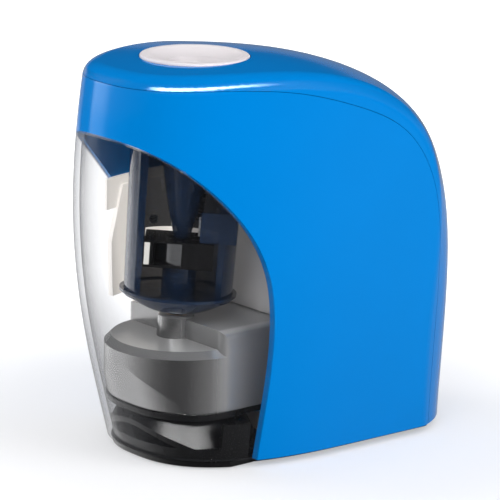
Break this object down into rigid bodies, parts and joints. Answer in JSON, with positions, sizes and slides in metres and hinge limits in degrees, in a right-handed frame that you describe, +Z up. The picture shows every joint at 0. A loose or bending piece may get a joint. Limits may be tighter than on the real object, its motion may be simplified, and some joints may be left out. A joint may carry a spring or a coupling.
{
  "type": "pencil sharpener",
  "caption": "Upright battery pencil sharpener: blue shells, clear pull-off shavings drawer, round dished inlet on top, geared rotary cutter inside.",
  "frame": {"origin": "middle of the footprint on the surface the sharpener stands on", "axes": "+Z up; the clear drawer faces -Y and pulls off that way; +X is to the right seen from the front"},
  "size_m": [0.0672, 0.1221, 0.115],
  "materials": {
    "blue_shell": "glossy blue",
    "inlet_white": "satin white",
    "black_plastic": "fine matte",
    "pad_rubber": "matte",
    "screw_steel": "satin",
    "pale_plastic": "matte",
    "clear_window": "clear gloss",
    "smoke_plastic": "translucent smoke, gloss",
    "grey_plastic": "satin grey",
    "gear_nylon": "matte",
    "gear_brass": "satin",
    "polished_steel": "polished",
    "blade_steel": "ground",
    "bronze_bush": "satin",
    "motor_steel": "plated",
    "copper_winding": "enamelled wire",
    "cell_jacket": "printed sleeve, no print",
    "contact_nickel": "plated",
    "red_insulation": "matte"
  },
  "bodies": {
    "base": {"main_housing": "blue_shell", "top_cover": "blue_shell", "inlet_ring": "inlet_white", "base_plate": "black_plastic", "foot_pads": "pad_rubber", "base_screws": "screw_steel", "chamber_wall": "pale_plastic", "gear_housing": "grey_plastic", "gear_plate": "black_plastic", "idler_pin": "polished_steel", "spindle_bushing": "bronze_bush", "motor_can": "motor_steel", "motor_end_cap": "black_plastic", "motor_bush": "bronze_bush", "motor_bracket": "grey_plastic", "battery_box": "black_plastic", "contact_plates": "contact_nickel", "contact_springs": "contact_nickel", "drawer_switch": "black_plastic", "start_switch": "black_plastic", "switch_bracket": "black_plastic", "positive_lead": "red_insulation", "negative_lead": "black_plastic", "aa_cell_1": "cell_jacket", "aa_cell_2": "cell_jacket", "aa_cell_3": "cell_jacket", "aa_cell_4": "cell_jacket"},
    "drawer": {"drawer_window": "clear_window", "drawer_tray": "black_plastic"},
    "cutter": {"spindle": "polished_steel", "spindle_gear": "gear_nylon", "cutter_carrier": "smoke_plastic", "carrier_collar": "smoke_plastic", "carrier_screws": "screw_steel", "chip_guard": "smoke_plastic", "sharpener_cone": "smoke_plastic", "cutter_blade": "blade_steel", "blade_screws": "screw_steel", "blade_clamp": "black_plastic", "clamp_key": "gear_nylon", "tip_sleeve": "polished_steel", "tip_spring": "polished_steel"},
    "plunger": {"tip_plunger": "black_plastic"},
    "idler": {"idler_gear": "gear_nylon"},
    "rotor": {"motor_shaft": "polished_steel", "motor_pinion": "gear_brass", "motor_armature": "copper_winding"},
    "door": {"battery_door": "blue_shell"},
    "safety_button": {"switch_plunger": "gear_nylon"},
    "start_trigger": {"start_lever": "gear_nylon"}
  },
  "joints": [
    {"name": "drawer_slide", "type": "slide", "parent": "base", "child": "drawer", "axis": [0, -1, 0], "range_m": [0, 0.045]},
    {"name": "cutter_spin", "type": "hinge", "parent": "base", "child": "cutter", "pos_m": [0, -0.03216, 0.034], "axis": [0, 0.0698, 0.9976], "continuous": true},
    {"name": "plunger_press", "type": "slide", "parent": "cutter", "child": "plunger", "axis": [0, -0.0698, -0.9976], "range_m": [0, 0.0015], "stiffness_N_per_m": 300, "springref_m": -0.0008, "deforming": ["tip_spring"]},
    {"name": "idler_spin", "type": "hinge", "parent": "base", "child": "idler", "pos_m": [0, -0.01381, 0.03272], "axis": [0, 0.0698, 0.9976], "continuous": true},
    {"name": "rotor_spin", "type": "hinge", "parent": "base", "child": "rotor", "pos_m": [0, 0.00654, 0.03129], "axis": [0, 0.0698, 0.9976], "continuous": true},
    {"name": "door_pull", "type": "slide", "parent": "base", "child": "door", "axis": [0, 1, 0], "range_m": [0, 0.02]},
    {"name": "safety_press", "type": "slide", "parent": "base", "child": "safety_button", "axis": [0, 1, 0], "range_m": [0, 0.0012], "stiffness_N_per_m": 200, "springref_m": -0.0008},
    {"name": "start_press", "type": "hinge", "parent": "base", "child": "start_trigger", "pos_m": [-0.0078, -0.0276, 0.104], "axis": [0, 1, 0], "range_deg": [0, 8], "stiffness_Nm_per_rad": 0.02, "springref_deg": -5.73}
  ],
  "couplings": [
    {"joint": "idler_spin", "follows": "cutter_spin", "ratio": -2.8333},
    {"joint": "rotor_spin", "follows": "cutter_spin", "ratio": 9.2083}
  ]
}
